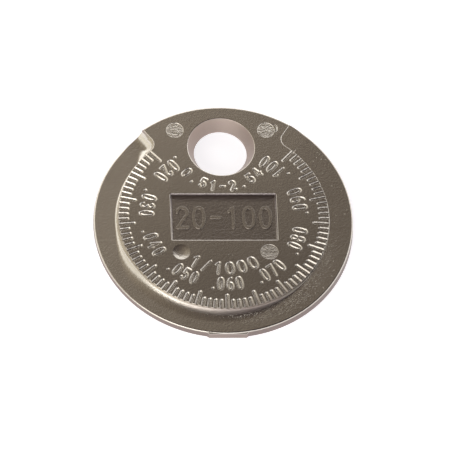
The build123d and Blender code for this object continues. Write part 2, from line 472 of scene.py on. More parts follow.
def hole_profile():
    """Radii and heights from above the face, down the cone and out through the back."""
    slope = atan2(hole_mouth_radius - hole_land_radius, face_height - hole_land_height)
    drop = mouth_edge_radius * tan((radians(90) - slope) / 2)
    middle = hole_mouth_radius + drop
    mouth = [(middle - mouth_edge_radius * sin(a), face_height - mouth_edge_radius * (1 - cos(a)))
             for a in mouth_turns]
    start = middle + mouth_start[0]
    profile = [(start, face_height + clear), (start, face_height + mouth_start[1])] + mouth
    top_radius, top_height = mouth[-1]
    for i in range(1, wall_rings + 1):
        share = i / (wall_rings + 1)
        radius = top_radius + share * (hole_land_radius - top_radius)
        height = top_height + share * (hole_land_height - top_height)
        profile.append((radius + ring_depth * (-1) ** i, height))
    profile.append((hole_land_radius, hole_land_height))
    return profile + [(hole_land_radius + r, z) for r, z in back_break]


merge_into(casting, turned("hole_cutter", hole_profile(), hole_middle, hole_corners), "DIFFERENCE")
tell("hole cut")

# %% [markdown]
# ## The stub at the edge
#
# The metal ran into the mould at the bottom of the disc. What is left of the runner was trimmed
# straight, so the rim has a flat there with two small corners that stand proud of the round. The
# frame says how far the flat is from the middle. Cutting the rim flat would lose the proud
# corners, so a small block with slanted ends is added instead.

# %% Add the stub
stub_front = -low_corner.y / mm
gate_half_width = 3.15
gate_slant = 1.3
gate_height = (thin_floor + thick_floor) / 2 - 0.20
gate_edge = 0.05
gate_levels = [(gate_edge, 0), (0, gate_edge), (0, gate_height - 0.12),
               (0.03, gate_height - 0.03), (0.12, gate_height)]


def gate_outline(inset, height):
    """Plan outline of the stub, moved in by the inset on its three open sides."""
    front = -stub_front + height * tan(rim_lean) + inset
    back = -disc_radius + overshoot
    near, far = gate_half_width - inset, gate_half_width + gate_slant * 2 - inset
    return [Vector((x, y, height)) for x, y in ((-near, front), (near, front), (far, back), (-far, back))]


merge_into(casting, loft("gate_stub", [gate_outline(d, z) for d, z in gate_levels]), "UNION")
tell("stub added")

# %% [markdown]
# ## The sunk panel
#
# A shallow rectangular panel lies in the middle of the face. It could be inset and pushed down,
# but it is lofted like a land, from outlines that shrink as they go down: that gives the softened
# edge, the steep walls with a small fillet at their foot, and the wall towards the hole, which
# alone slopes more.

# %% Cut the panel
panel_half_width = 9.1
panel_half_length = 4.675
panel_depth = 0.40
panel_corner_radius = 0.28
panel_corner_steps = 4
upper_slope = 1.2
slope_start = 0.08
panel_fillet = 0.42
panel_levels = [(-0.10, 0.30), (-0.10, 0.012), (-0.04, -0.008), (0, -0.035), (0.05, -0.09), (0.08, -0.15),
                (0.10, -0.25), (0.13, -0.31), (0.19, -0.355), (0.28, -0.385), (panel_fillet, -panel_depth)]
panel_levels += [(inset, -panel_depth) for inset in (1.2, 2.2, 3.2, 4.2)]


def panel_outline(inset, height):
    """Rounded rectangle, moved in by the inset."""
    points = []
    radius = max(panel_corner_radius - inset, least_corner_radius)
    for quarter, (x_sign, y_sign) in enumerate(((1, 1), (-1, 1), (-1, -1), (1, -1))):
        x = x_sign * (panel_half_width - inset - radius)
        y = y_sign * (panel_half_length - inset - radius)
        if y_sign > 0:
            y -= upper_slope * max(min(inset, panel_fillet) - slope_start, 0)
        for i in range(panel_corner_steps + 1):
            turn = radians(90) * (quarter + i / panel_corner_steps)
            points.append(Vector((x + radius * cos(turn), y + radius * sin(turn), height)))
    return points


panel_loops = [panel_outline(d, face_height + z) for d, z in panel_levels]
merge_into(casting, loft("panel_cutter", panel_loops), "DIFFERENCE")
tell("panel cut")

# %% [markdown]
# ## Strokes
#
# Lines, digits and the figures in the panel are strokes: a cross-section carried along a path in
# the plane of the face, with half-round ends. A bevelled curve would end flat or pinched. In a
# loft the section's points swing forward at the end as they close on the middle, which gives the
# end that a round-nosed cutter leaves.

# %% Carry a section along a path
end_turns = [radians(a) for a in (28, 52, 72, 86)]


def stroke_loop(section, spot, heading, turn=0, forward=1):
    """The section across the heading at a spot, or part of a round end at a turn of that end."""
    side = Vector((-heading.y, heading.x))
    loop = []
    for width, height in section:
        flat = spot + side * width * cos(turn) + heading * forward * abs(width) * sin(turn)
        loop.append(Vector((flat.x, flat.y, height)))
    return loop


def stroke(name, section, path, ring=False):
    """Loft a stroke along a path of flat points."""
    spots = [Vector(p) for p in path]
    count = len(spots)
    loops = []
    for i, spot in enumerate(spots):
        before = spots[(i - 1) % count] if ring or i > 0 else spot
        after = spots[(i + 1) % count] if ring or i < count - 1 else spot
        heading = (after - before).normalized()
        if i == 0 and not ring:
            loops += [stroke_loop(section, spot, heading, t, -1) for t in reversed(end_turns)]
        loops.append(stroke_loop(section, spot, heading))
        if i == count - 1 and not ring:
            loops += [stroke_loop(section, spot, heading, t) for t in end_turns]
    if ring:
        loops.append(loops[0])
    return loft(name, loops, ring)


# %% [markdown]
# ## The shape of a groove
#
# The engraver's cutter leaves a round-bottomed valley whose shoulders are soft after casting and
# plating. One list gives that shape, and each kind of groove scales it to its width and depth.

# %% Shape the grooves and copy tools
GROOVE_SHAPE = [(.94, -.035), (.83, -.15), (.70, -.34), (.56, -.55), (.39, -.79), (.23, -.94), (.08, -1)]
GROOVE_TOPS = (0.25, 0.004)


def groove_section(half_width, depth):
    """Closed section of a groove's cutter, from above the face down to the valley's bottom."""
    side = [(half_width, z) for z in GROOVE_TOPS]
    side += [(x * half_width, z * depth) for x, z in GROOVE_SHAPE]
    right = [(w, face_height + z) for w, z in side]
    return right + [(-w, z) for w, z in reversed(right)]


def copy_of(solid, placement):
    """Copy a solid with its own mesh, and put the copy's place into that mesh."""
    pick(solid)
    bpy.ops.object.duplicate()
    copied = bpy.context.object
    copied.data.transform(placement)
    return copied


def joined(name, solids):
    """Join solids that don't touch into one object."""
    pick(solids[0])
    for solid in solids:
        solid.select_set(True)
    bpy.ops.object.join()
    bpy.context.object.name = name
    return bpy.context.object


# %% [markdown]
# ## The graduation lines
#
# The 81 lines stand for thousandths of an inch, and every fifth is long. They run out through
# the hub's edge. Each kind is modelled once and copied round the dial, and all of them are cut
# in one go, because one Boolean with many tools is much faster than one for each.

# %% Cut the lines
line_section = groove_section(0.375, 0.25)
long_line_length = 2.8
short_line_length = 1.75
line_end = 0.25
line_run_out = 0.7
lines_to_long = 5


def line_tool(length):
    """One line along +X at angle zero, from its round inner end out past the hub."""
    inner = hub_radius - length + line_end
    return stroke("line_tool", line_section, [(inner, 0), (hub_radius + line_run_out, 0)])


long_line = line_tool(long_line_length)
short_line = line_tool(short_line_length)
lines = []
for i in range(line_count):
    tool = short_line if i % lines_to_long else long_line
    lines.append(copy_of(tool, Matrix.Rotation(thin_line_angle + i * line_step, 4, "Z")))
merge_into(casting, joined("line_cutters", lines), "DIFFERENCE")
put_away([long_line, short_line])
tell("lines cut")

# %% [markdown]
# ## The digits
#
# The figures of the mould were engraved with a round cutter. A text object would look set from a
# font, so each character is drawn as a few strokes, in a box one unit wide and one unit high.
# Its round parts are arcs and ovals.

# %% Draw the characters
squareness = 2.4


def arc(middle, radii, first, last, steps=10):
    """Points of an oval arc, by angles in degrees."""
    turns = [radians(first + (last - first) * i / steps) for i in range(steps + 1)]
    return [(middle[0] + radii[0] * cos(a), middle[1] + radii[1] * sin(a)) for a in turns]


def oval(middle, radii, steps=22):
    """Points of a whole oval, slightly squared like a stamped figure."""
    points = []
    for i in range(steps):
        a = 2 * pi * i / steps
        square = (abs(cos(a)) ** squareness + abs(sin(a)) ** squareness) ** (-1 / squareness)
        points.append((middle[0] + radii[0] * square * cos(a), middle[1] + radii[1] * square * sin(a)))
    return points


SIX_LOOP = oval((.5, .29), (.5, .29), 18)
SIX_STEM = arc((.92, .30), (.92, .70), 97, 176)
CHARACTERS = {
    "0": [("ring", oval((.5, .5), (.5, .5)))],
    "1": [("line", [(.2, .8), (.6, 1)]), ("line", [(.6, 1), (.6, 0)])],
    "2": [("line", arc((.5, .74), (.5, .26), 168, -38) + [(.45, .3), (0, 0)]), ("line", [(0, 0), (1, 0)])],
    "3": [("line", arc((.47, .77), (.47, .23), 160, -90)), ("line", arc((.48, .27), (.52, .27), 90, -160))],
    "4": [("line", [(.72, 1), (.72, 0)]), ("line", [(.72, 1), (0, .32)]), ("line", [(0, .32), (1, .32)])],
    "5": [("line", [(.95, 1), (.12, 1)]), ("line", [(.12, 1), (.06, .56)]),
          ("line", [(.06, .56)] + arc((.48, .31), (.52, .31), 118, -150))],
    "6": [("ring", SIX_LOOP), ("line", SIX_STEM)],
    "7": [("line", [(0, 1), (1, 1)]), ("line", [(1, 1), (.38, 0)])],
    "8": [("ring", oval((.5, .26), (.5, .26), 18)), ("ring", oval((.5, .77), (.42, .23), 18))],
    "9": [("ring", [(1 - x, 1 - y) for x, y in SIX_LOOP]), ("line", [(1 - x, 1 - y) for x, y in SIX_STEM])],
    "-": [("line", [(.1, .5), (.9, .5)])],
    "/": [("line", [(.1, 0), (.9, 1)])],
    ".": [("line", [(.5, 0), (.5, .02)])],
}
print("characters drawn:", " ".join(CHARACTERS))

# %% [markdown]
# ## Characters as tools
#
# A character's strokes are merged into one tool, which is then copied to each of its places. The
# dial's rows are bent, so the copies are set along an arc, each one turned to face its middle.

# %% Helpers for characters
def character_tool(character, section, width, height):
    """One solid for a character, centred on the origin, with its top towards +Y."""
    whole = None
    for kind, path in CHARACTERS[character]:
        spots = [((x - .5) * width, (y - .5) * height) for x, y in path]
        part = stroke("character_" + character, section, spots, ring=kind == "ring")
        if whole is None:
            whole = part
        else:
            merge_into(whole, part, "UNION")
    return whole


def bent_row(tools, text, places, middle, radius, middle_angle):
    """Copies of the character tools, set along an arc with their tops towards its middle."""
    centre = (places[0] + places[-1]) / 2
    row = []
    for character, place in zip(text, places):
        angle = middle_angle + (place - centre) / radius
        spot = Matrix.Translation((middle[0], middle[1], 0)) @ Matrix.Rotation(angle, 4, "Z")
        spot = spot @ Matrix.Translation((radius, 0, 0)) @ Matrix.Rotation(radians(90), 4, "Z")
        row.append(copy_of(tools[character], spot))
    return row


# %% [markdown]
# ## The numbers of the scale
#
# Every tenth line has its number, from .020 to .100. The digits stand with their tops towards
# the middle of the dial, and the point stands before them on their foot line. Ten tools and a
# point are enough for all of them.

# %% Cut the scale's numbers
number_section = groove_section(0.31, 0.21)
digit_width = 0.78
digit_height = 2.20
digit_pitch = 1.60
dot_to_digit = 1.18
number_radius = 13.2
lines_to_number = 10
first_number = 20

digit_tools = {c: character_tool(c, number_section, digit_width, digit_height) for c in "0123456789."}
numbers = []
for i in range(0, line_count, lines_to_number):
    text = f".{first_number + i:03d}"
    places = [-dot_to_digit, 0, digit_pitch, 2 * digit_pitch]
    numbers += bent_row(digit_tools, text, places, (0, 0), number_radius, thin_line_angle + i * line_step)
merge_into(casting, joined("number_cutters", numbers), "DIFFERENCE")
put_away(digit_tools.values())
tell("numbers cut")

# %% [markdown]
# ## The two curved rows
#
# A row under the hole gives the range in millimetres, and a row under the panel says what one
# line is worth. Both are plain figures, cut with the same kind of groove as the scale's numbers,
# the lower row taller.

# %% Cut the curved rows
row_section = groove_section(0.31, 0.21)
range_row = "0.51-2.54"
range_row_size = (0.84, 1.72)
range_row_radius = 7.95
range_row_pitch = 1.72
value_row = "1/1000"
value_row_size = (1.15, 2.16)
value_row_radius = 10.2
value_row_pitch = 2.05
value_row_angle = radians(-92)

small_tools = {c: character_tool(c, row_section, *range_row_size) for c in sorted(set(range_row))}
range_places = [i * range_row_pitch for i in range(len(range_row))]
rows = bent_row(small_tools, range_row, range_places, hole_middle, range_row_radius, radians(-90))
tall_tools = {c: character_tool(c, row_section, *value_row_size) for c in sorted(set(value_row))}
value_places = [i * value_row_pitch for i in range(len(value_row))]
rows += bent_row(tall_tools, value_row, value_places, (0, 0), value_row_radius, value_row_angle)
merge_into(casting, joined("row_cutters", rows), "DIFFERENCE")
put_away([*small_tools.values(), *tall_tools.values()])
tell("rows cut")

# %% [markdown]
# ## The range in the panel
#
# The figures in the panel give the range in thousandths. They stand up from its floor, 0.22 mm
# high with flat tops, because the mould is engraved there. The same strokes serve, with a ridge
# for a section, and they are added and not cut.

# %% Raise the range
range_rise = 0.22
range_half_stroke = 0.31
range_text = "20-100"
range_width = 1.75
range_height = 3.93
range_first_x = -7.115
panel_floor = face_height - panel_depth


def ridge_section(half_width, rise):
    """Closed section of a raised stroke that is rooted below the panel's floor."""
    side = [(half_width + 0.02, -0.1), (half_width, 0.02), (half_width - 0.035, rise - 0.05),
            (half_width - 0.055, rise - 0.015), (half_width - 0.1, rise)]
    right = [(w, panel_floor + z) for w, z in side]
    return right + [(-w, z) for w, z in reversed(right)]


ridge = ridge_section(range_half_stroke, range_rise)
range_tools = {c: character_tool(c, ridge, range_width, range_height) for c in sorted(set(range_text))}
range_step = -2 * range_first_x / (len(range_text) - 1)
figures = [copy_of(range_tools[c], Matrix.Translation((range_first_x + i * range_step, 0, 0)))
           for i, c in enumerate(range_text)]
merge_into(casting, joined("range_figures", figures), "UNION")
put_away(range_tools.values())
tell("range raised")

# %% [markdown]
# ## The ejector marks
#
# Four pins pushed the casting out of its mould. Three left flat rough discs, slightly sunk, and
# the lower left one left a smooth dimple. Each mark is cut with a round tool, because its rim
# shows as a thin line in the photograph, which paint alone wouldn't give.

# %% Cut the ejector marks
pin_radius = 1.5
pin_depth = 0.10
dimple_depth = 0.25
mark_corners = 48
flat_pins = [Vector((-7.85, 17.35)), Vector((7.85, 17.35)), Vector((7.5, -6.95))]
dimple = Vector((-7.5, -6.95))


def pin_cutter(middle):
    """A flat disc with a softened edge."""
    levels = [(0.06, 0.30), (0.06, 0.010), (0, -0.012), (-0.03, -0.05), (-0.06, -0.09), (-0.12, -pin_depth)]
    profile = [(pin_radius + r, face_height + z) for r, z in levels]
    return turned("pin_cutter", profile, middle, mark_corners)


def dimple_cutter(middle):
    """A shallow bowl."""
    levels = [(1.06, -2), (1.04, -0.02)] + [(x, 1 - x * x) for x in (.98, .9, .78, .64, .48, .3, .12)]
    profile = [(pin_radius * x, face_height - dimple_depth * depth) for x, depth in levels]
    return turned("dimple_cutter", profile, middle, mark_corners)


marks = [pin_cutter(middle) for middle in flat_pins] + [dimple_cutter(dimple)]
merge_into(casting, joined("mark_cutters", marks), "DIFFERENCE")
tell("marks cut")

# %% [markdown]
# ## Specks and a scratch
#
# Plating leaves specks where the casting was not clean: tiny domes on the right of the ramp, and a
# few tiny pits on the hub. Beside the upper right pin there is a curled scratch. All are real
# shapes, balls and a stroke, so that they catch the light from every side. The domes are
# scattered by dice with a fixed seed, the pits lie where the photograph shows them.

# %% Add the specks and the scratch
speck_count = 26
speck_dice = Random(5)
speck_angles = (300, 400)
speck_radii = (0.05, 0.09)
speck_margins = (0.9, 0.8)
speck_sunk_share = 0.3
pit_spots = [(14.25, 12.04), (15.84, 9.45), (1.1, -7.6), (0.5, -7.5)]
pit_radius = 0.11
pit_lift = 0.03


def speck(x, y, height, radius):
    """One small ball, put in its place."""
    start_fresh()
    bpy.ops.mesh.primitive_uv_sphere_add(segments=10, ring_count=6, radius=radius, location=(x, y, height))
    bpy.ops.object.transform_apply(location=True, rotation=False, scale=False)
    return bpy.context.object


domes = []
for i in range(speck_count):
    angle = radians(speck_dice.uniform(*speck_angles))
    distance = speck_dice.uniform(hub_radius + speck_margins[0], disc_radius - speck_margins[1])
    size = speck_dice.uniform(*speck_radii)
    height = climb(angle)[0] - speck_sunk_share * size
    domes.append(speck(distance * cos(angle), distance * sin(angle), height, size))
merge_into(casting, joined("domes", domes), "UNION")
pits = [speck(x, y, face_height + pit_lift, pit_radius) for x, y in pit_spots]
merge_into(casting, joined("pits", pits), "DIFFERENCE")
scratch_section = groove_section(0.14, 0.07)
scratch_path = arc((9.30, 17.75), (0.50, 0.75), -70, 120)
merge_into(casting, stroke("curled_scratch", scratch_section, scratch_path), "DIFFERENCE")
tell("specks added")

# %% [markdown]
# ## Where the surface differs
#
# The mould was not equally smooth everywhere: the pins' ends and the panel's floor are rough, the
# side of the disc, the hole and the foot of the hub are duller, and the ramp is speckled beside
# the hub. The zones also carry painted shade: the panel's floor is painted darker, darkest under
# its upper edge, and the side of the disc, the hole and the foot of the hub are painted darker
# too. Separate materials would leave hard borders, so each corner of the mesh stores how much of
# each finish and of painted shade it has, and the material reads that.
# Places round the hub are told by their turn in degrees from +X.

# %% Paint the zones
skin = 0.03
hair = 0.01
pin_depths = (0.12, 0.04)
# Painted shade in the sunk panel: darkest under its upper edge and at its left edge, less on the floor,
# least on the raised figures.
panel_dark, panel_plain, panel_raised = 1.0, 0.56, 0.28
dark_top_strip, dark_left_strip = 0.85, 0.12
raised_from = 0.10
rim_band, rim_facing = 0.4, 0.3
wall_facing = (-0.5, 0.8)
# Painted shade on the side of the disc, less on the stub.
rim_dark, stub_dark, stub_margin = 0.4, 0.1, 0.2
# The foot of the hub is duller and has painted shade, most just right of the bottom.
foot_band = (0.02, 1.1)
foot_facing, foot_depth = 0.88, 0.08
dullest_shaded_turn, dull_and_shade_fade, foot_dull_and_shade, foot_dark = 282, 62, 0.8, 0.5
speckle_turn, speckle_fade, speckle_width, speckle_facing = 300, 60, 3, 0.6


def panel_zone(spot):
    """How much painted shade the panel has at a spot: most under its upper edge and at its left one."""
    if abs(spot.x) >= panel_half_width or abs(spot.y) >= panel_half_length:
        return 0.0
    if spot.y > panel_half_length - dark_top_strip or spot.x < -panel_half_width + dark_left_strip:
        return panel_dark
    return panel_plain if spot.z < panel_floor + raised_from else panel_raised


def zone_values(spot, normal):
    """Shares of rough pin, panel floor with painted shade, dull side with painted shade and speckled ramp
    at a corner of a face.
    """
    flat = Vector((spot.x, spot.y))
    radius = flat.length
    turn = (degrees(atan2(spot.y, spot.x)) + 360) % 360
    sunk = spot.z < face_height - skin
    near_pin = min((flat - middle).length for middle in flat_pins)
    pin = near_pin < pin_radius and face_height - pin_depths[0] < spot.z < face_height - pin_depths[1]
    panel = panel_zone(spot) if sunk else 0.0

    in_hole = sunk and (flat - hole_middle).length < hole_mouth_radius
    rim_side = radius > disc_radius - rim_band and wall_facing[0] < normal.z < rim_facing
    side = float((in_hole or rim_side) and wall_facing[0] < normal.z < wall_facing[1])
    # The side of the disc gets painted shade through the panel share, less on the stub.
    if rim_side:
        on_stub = spot.y < 0 and abs(spot.x) < gate_half_width + stub_margin
        panel = stub_dark if on_stub else rim_dark
    # The foot of the hub is duller and gets painted shade, most just right of the bottom.
    hub_foot = hub_radius - foot_band[0] < radius < hub_radius + foot_band[1] and not in_hole
    if hub_foot and normal.z < foot_facing and spot.z < face_height - foot_depth:
        side = max(side, foot_dull_and_shade - abs(turn - dullest_shaded_turn) / dull_and_shade_fade)
        panel = max(panel, foot_dark * side)

    speckle = 0.0
    if sunk and normal.z > speckle_facing and radius > hub_radius - hair:
        speckle = max(1 - abs(turn - speckle_turn) / speckle_fade, 0)
        speckle *= max(1 - (radius - hub_radius) / speckle_width, 0)
    return (float(pin), panel, side, speckle)


def paint_zones(piece):
    """Store the zones on the corners of the mesh."""
    mesh = piece.data
    zones = mesh.color_attributes.new("finish_and_shade_zones", "FLOAT_COLOR", "CORNER")
    for face in mesh.polygons:
        for corner in face.loop_indices:
            spot = mesh.vertices[mesh.loops[corner].vertex_index].co
            zones.data[corner].color = zone_values(spot, face.normal)
    print("zones stored on", len(mesh.loops), "corners")


# %% [markdown]
# ## Smooth and sharp
#
# The cuts left a few tiny loose chips, which go first: all that isn't linked to the lowest corner.
# Shading is smooth except at real edges. Plain smooth shading would bend the light on the face
# beside each groove, so weighted normals follow: the level faces are marked strong, and a strong
# face alone sets the direction of its corners. At the end the casting is scaled from millimetres
# down to the frame's metres.

# %% Finish the mesh
sharp_angle = radians(40)
level_facing = 0.9999


def edit_cage(piece, mode):
    """Enter edit mode with nothing selected, and give the mesh."""
    pick(piece)
    bpy.ops.object.mode_set(mode="EDIT")
    bpy.ops.mesh.select_mode(type=mode)
    bpy.ops.mesh.select_all(action="DESELECT")
    return bmesh.from_edit_mesh(piece.data)


cage = edit_cage(casting, "VERT")
min(cage.verts, key=lambda corner: corner.co.z).select_set(True)
bpy.ops.mesh.select_linked()
bpy.ops.mesh.select_all(action="INVERT")
print("loose chips have", sum(corner.select for corner in cage.verts), "corners")
bpy.ops.mesh.delete(type="VERT")
bpy.ops.object.mode_set(mode="OBJECT")
bpy.ops.object.shade_smooth_by_angle(angle=sharp_angle)
paint_zones(casting)

cage = edit_cage(casting, "FACE")
for face in cage.faces:
    face.select = abs(face.normal.z) > level_facing
bmesh.update_edit_mesh(casting.data)
bpy.ops.mesh.mod_weighted_strength(set=True, face_strength="STRONG")
bpy.ops.object.mode_set(mode="OBJECT")
weights = casting.modifiers.new("weights", "WEIGHTED_NORMAL")
weights.keep_sharp = True
weights.use_face_influence = True
bpy.ops.object.modifier_apply(modifier=weights.name)
casting.scale = (mm, mm, mm)
bpy.ops.object.transform_apply(location=False, rotation=False, scale=True)
triangles = sum(len(face.vertices) - 2 for face in casting.data.polygons)
print("finished casting:", triangles, "triangles")

# %% [markdown]
# ## Wiring nodes
#
# A material is a graph of nodes. It could be wired by hand in the node editor; here each helper
# adds one node, wires it and gives back its output, so that a finish reads as a list of steps.
# The first ones deal with values.

# %% Helpers for values
def add_node(tree, kind, spot, **settings):
    """Add a node and set its properties."""
    node = tree.nodes.new(kind)
    node.location = spot
    for name, value in settings.items():
        setattr(node, name, value)
    return node


def scaled_noise(tree, place, scale, detail, spot):
    """Noise at a place on the piece."""
    noise = add_node(tree, "ShaderNodeTexNoise", spot)
    noise.inputs["Scale"].default_value = scale
    noise.inputs["Detail"].default_value = detail
    tree.links.new(place, noise.inputs["Vector"])
    return noise.outputs["Fac"]


def combine(tree, kind, first, second, spot, third=None):
    """Join values with a math node, each an output of a node or a number."""
    node = add_node(tree, "ShaderNodeMath", spot, operation=kind)
    for number, value in enumerate(v for v in (first, second, third) if v is not None):
        if isinstance(value, (int, float)):
            node.inputs[number].default_value = value
        else:
            tree.links.new(value, node.inputs[number])
    return node.outputs[0]


def aligned(tree, vector, heading, spot):
    """How far a vector points along a heading."""
    node = add_node(tree, "ShaderNodeVectorMath", spot, operation="DOT_PRODUCT")
    node.inputs[1].default_value = heading
    tree.links.new(vector, node.inputs[0])
    return node.outputs["Value"]


def spread_out(tree, value, first, last, spot):
    """0 at the first value, 1 at the last one and even in between."""
    node = add_node(tree, "ShaderNodeMapRange", spot)
    node.inputs["From Min"].default_value = first
    node.inputs["From Max"].default_value = last
    tree.links.new(value, node.inputs["Value"])
    return node.outputs["Result"]


# %% [markdown]
# ## Colours and bumps
#
# These helpers deal with what the eye sees: a ramp gives a colour for a value, a mix tints one
# colour with another, and a bump bends the light as if the surface rose and fell.

# %% Helpers for colours and bumps
def colour_ramp(tree, value, first, last, spot, between=()):
    """Colours over a value, by stops that are each a position and a colour."""
    node = add_node(tree, "ShaderNodeValToRGB", spot)
    stops = node.color_ramp.elements
    for stop, (position, colour) in zip(stops, (first, last)):
        stop.position = position
        stop.color = (*colour, 1)
    for position, colour in between:
        stops.new(position).color = (*colour, 1)
    tree.links.new(value, node.inputs["Fac"])
    return node.outputs["Color"]


def mixed(tree, share, first, second, spot, blend="MIX"):
    """Mix two colours by a share, each an output of a node or a colour."""
    node = add_node(tree, "ShaderNodeMix", spot, data_type="RGBA", blend_type=blend)
    tree.links.new(share, node.inputs["Factor"])
    for name, colour in (("A", first), ("B", second)):
        if isinstance(colour, tuple):
            node.inputs[name].default_value = (*colour, 1)
        else:
            tree.links.new(colour, node.inputs[name])
    return node.outputs["Result"]


def bumped(tree, height, share, distance, normal, spot):
    """A bump of the given depth, only where the share says so."""
    bump = add_node(tree, "ShaderNodeBump", spot)
    bump.inputs["Distance"].default_value = distance
    tree.links.new(height, bump.inputs["Height"])
    if share is not None:
        tree.links.new(share, bump.inputs["Strength"])
    if normal is not None:
        tree.links.new(normal, bump.inputs["Normal"])
    return bump.outputs["Normal"]


# %% [markdown]
# ## The colour of the plate
#
# Nickel plate is a warm grey metal, faintly mottled. One plain grey would look like paint, so noise
# mottles it, and tints multiply it with painted shade: by place on the casting, darker towards the
# lower right and on the lower hub, and by the zones for the dark panel and the dull walls.

# %% Colour the plate
light_grey = (0.68, 0.64, 0.57)
dark_grey = (0.64, 0.60, 0.535)
# Painted shade: the plate is painted darker towards the lower right.
lower_right_shade_tint = (0.78, 0.78, 0.79)
# Painted shade: the hub's face is painted darker towards the bottom.
low_hub_shade_tint = (0.76, 0.75, 0.75)
# Painted shade, by the panel share: in the sunk panel, on the side of the disc and at the hub's foot.
panel_shade_tint = (0.34, 0.31, 0.34)
# Painted shade on the side of the disc, in the hole and at the foot of the hub.
side_shade_tint = (0.69, 0.61, 0.61)
mottle_scale = 260
lower_right_shade_heading = (12.0, -9.0, 0)
hub_heights = (0.0026, 0.0027)
low_hub_shade_span = (0.018, -0.010)


def plate_colour(tree, place, panel, side):
    """Mottled grey, with painted shade towards the lower right, low on the hub, and by the zones."""
    mottle = scaled_noise(tree, place, mottle_scale, 5, (-1500, 300))
    colour = colour_ramp(tree, mottle, (0.3, dark_grey), (0.7, light_grey), (-1250, 300))
    # Painted shade, darker towards the lower right.
    lean = aligned(tree, place, lower_right_shade_heading, (-1500, 100))
    lower_right_shade = spread_out(tree, lean, -0.25, 0.25, (-1250, 100))
    colour = mixed(tree, lower_right_shade, colour, lower_right_shade_tint, (-1000, 300), "MULTIPLY")
    # Painted shade, the hub's face darker towards the bottom.
    parts = add_node(tree, "ShaderNodeSeparateXYZ", (-1750, 0))
    tree.links.new(place, parts.inputs[0])
    on_hub = spread_out(tree, parts.outputs["Z"], *hub_heights, (-1250, -50))
    lower = spread_out(tree, parts.outputs["Y"], *low_hub_shade_span, (-1250, 0))
    low_hub_shade = combine(tree, "MULTIPLY", on_hub, lower, (-1100, -50))
    colour = mixed(tree, low_hub_shade, colour, low_hub_shade_tint, (-900, 300), "MULTIPLY")
    # Painted shade by the panel share: in the panel, on the side of the disc and at the hub's foot.
    colour = mixed(tree, panel, colour, panel_shade_tint, (-800, 300), "MULTIPLY")
    # Painted shade by the side share: on the side of the disc, in the hole and at the hub's foot.
    return mixed(tree, side, colour, side_shade_tint, (-600, 300), "MULTIPLY")


# %% [markdown]
# ## The relief of the plate
#
# The plate keeps the fine grain of the mould. The ends of the pins and the panel are coarser, the
# pins are scratched one way, and tiny beads lie on the ramp beside the hub. All this is finer
# than the mesh could carry, so it is bump, a few hundredths of a millimetre deep.

# %% Roughen the plate
grain_scale, grain_depth = 2600, 0.036 * mm
coarse_scale, coarse_depth = 2100, 0.12 * mm
scratch_scale, scratch_depth = 900, 0.10 * mm
scratch_turn, scratch_stretch = radians(38), (1.0, 7.0, 1.0)
bead_scale, bead_depth, bead_size = 3600, 0.12 * mm, 0.36
panel_wear = 0.6


def plate_relief(tree, place, pin, panel, speckle):
    """Grain everywhere, and coarse grain, scratches and beads by the zones."""
    grain = scaled_noise(tree, place, grain_scale, 5, (-1500, -200))
    normal = bumped(tree, grain, None, grain_depth, None, (-1000, -200))
    coarse = scaled_noise(tree, place, coarse_scale, 3, (-1500, -400))
    worn_panel = combine(tree, "MULTIPLY", panel, panel_wear, (-1250, -350))
    worn = combine(tree, "MAXIMUM", pin, worn_panel, (-1100, -350))
    normal = bumped(tree, coarse, worn, coarse_depth, normal, (-800, -200))
    drawn_out = add_node(tree, "ShaderNodeMapping", (-1750, -600))
    drawn_out.inputs["Rotation"].default_value = (0, 0, scratch_turn)
    drawn_out.inputs["Scale"].default_value = scratch_stretch
    tree.links.new(place, drawn_out.inputs["Vector"])
    scratches = scaled_noise(tree, drawn_out.outputs["Vector"], scratch_scale, 3, (-1500, -600))
    normal = bumped(tree, scratches, pin, scratch_depth, normal, (-600, -200))
    beads = add_node(tree, "ShaderNodeTexVoronoi", (-1500, -800))
    beads.inputs["Scale"].default_value = bead_scale
    tree.links.new(place, beads.inputs["Vector"])
    bead = combine(tree, "LESS_THAN", beads.outputs["Distance"], bead_size, (-1250, -800))
    return bumped(tree, bead, speckle, bead_depth, normal, (-400, -200))


# %% [markdown]
# ## Satin nickel
#
# Over a die casting the shine of nickel is soft, so the metal is neither mirror nor matt: its
# roughness is 0.23, and more on the dull walls. All patterns are procedural, on Object
# coordinates, so they stick to the casting from every side.

# %% Make the nickel
plate_roughness = 0.23
more_on_pins = 0.02
more_on_walls = 0.22
more_in_panel = 0.05


def nickel(name):
    """Satin nickel over cast zinc, rough, dull or speckled where the zones say so, and darkened there by
    painted shade.
    """
    material = bpy.data.materials.new(name)
    material.use_nodes = True
    tree = material.node_tree
    shader = tree.nodes["Principled BSDF"]
    shader.inputs["Metallic"].default_value = 1.0
    place = add_node(tree, "ShaderNodeTexCoord", (-2000, 0)).outputs["Object"]
    stored = add_node(tree, "ShaderNodeAttribute", (-2000, 600), attribute_name="finish_and_shade_zones")
    zones = add_node(tree, "ShaderNodeSeparateColor", (-1800, 600))
    tree.links.new(stored.outputs["Color"], zones.inputs[0])
    pin, panel, side = zones.outputs[0], zones.outputs[1], zones.outputs[2]
    tree.links.new(plate_colour(tree, place, panel, side), shader.inputs["Base Color"])
    rough = combine(tree, "MULTIPLY_ADD", pin, more_on_pins, (-1000, 0), plate_roughness)
    rough = combine(tree, "MULTIPLY_ADD", side, more_on_walls, (-800, 0), rough)
    rough = combine(tree, "MULTIPLY_ADD", panel, more_in_panel, (-600, 0), rough)
    tree.links.new(rough, shader.inputs["Roughness"])
    relief = plate_relief(tree, place, pin, panel, stored.outputs["Alpha"])
    tree.links.new(relief, shader.inputs["Normal"])
    print(name, "has", len(tree.nodes), "nodes")
    return material


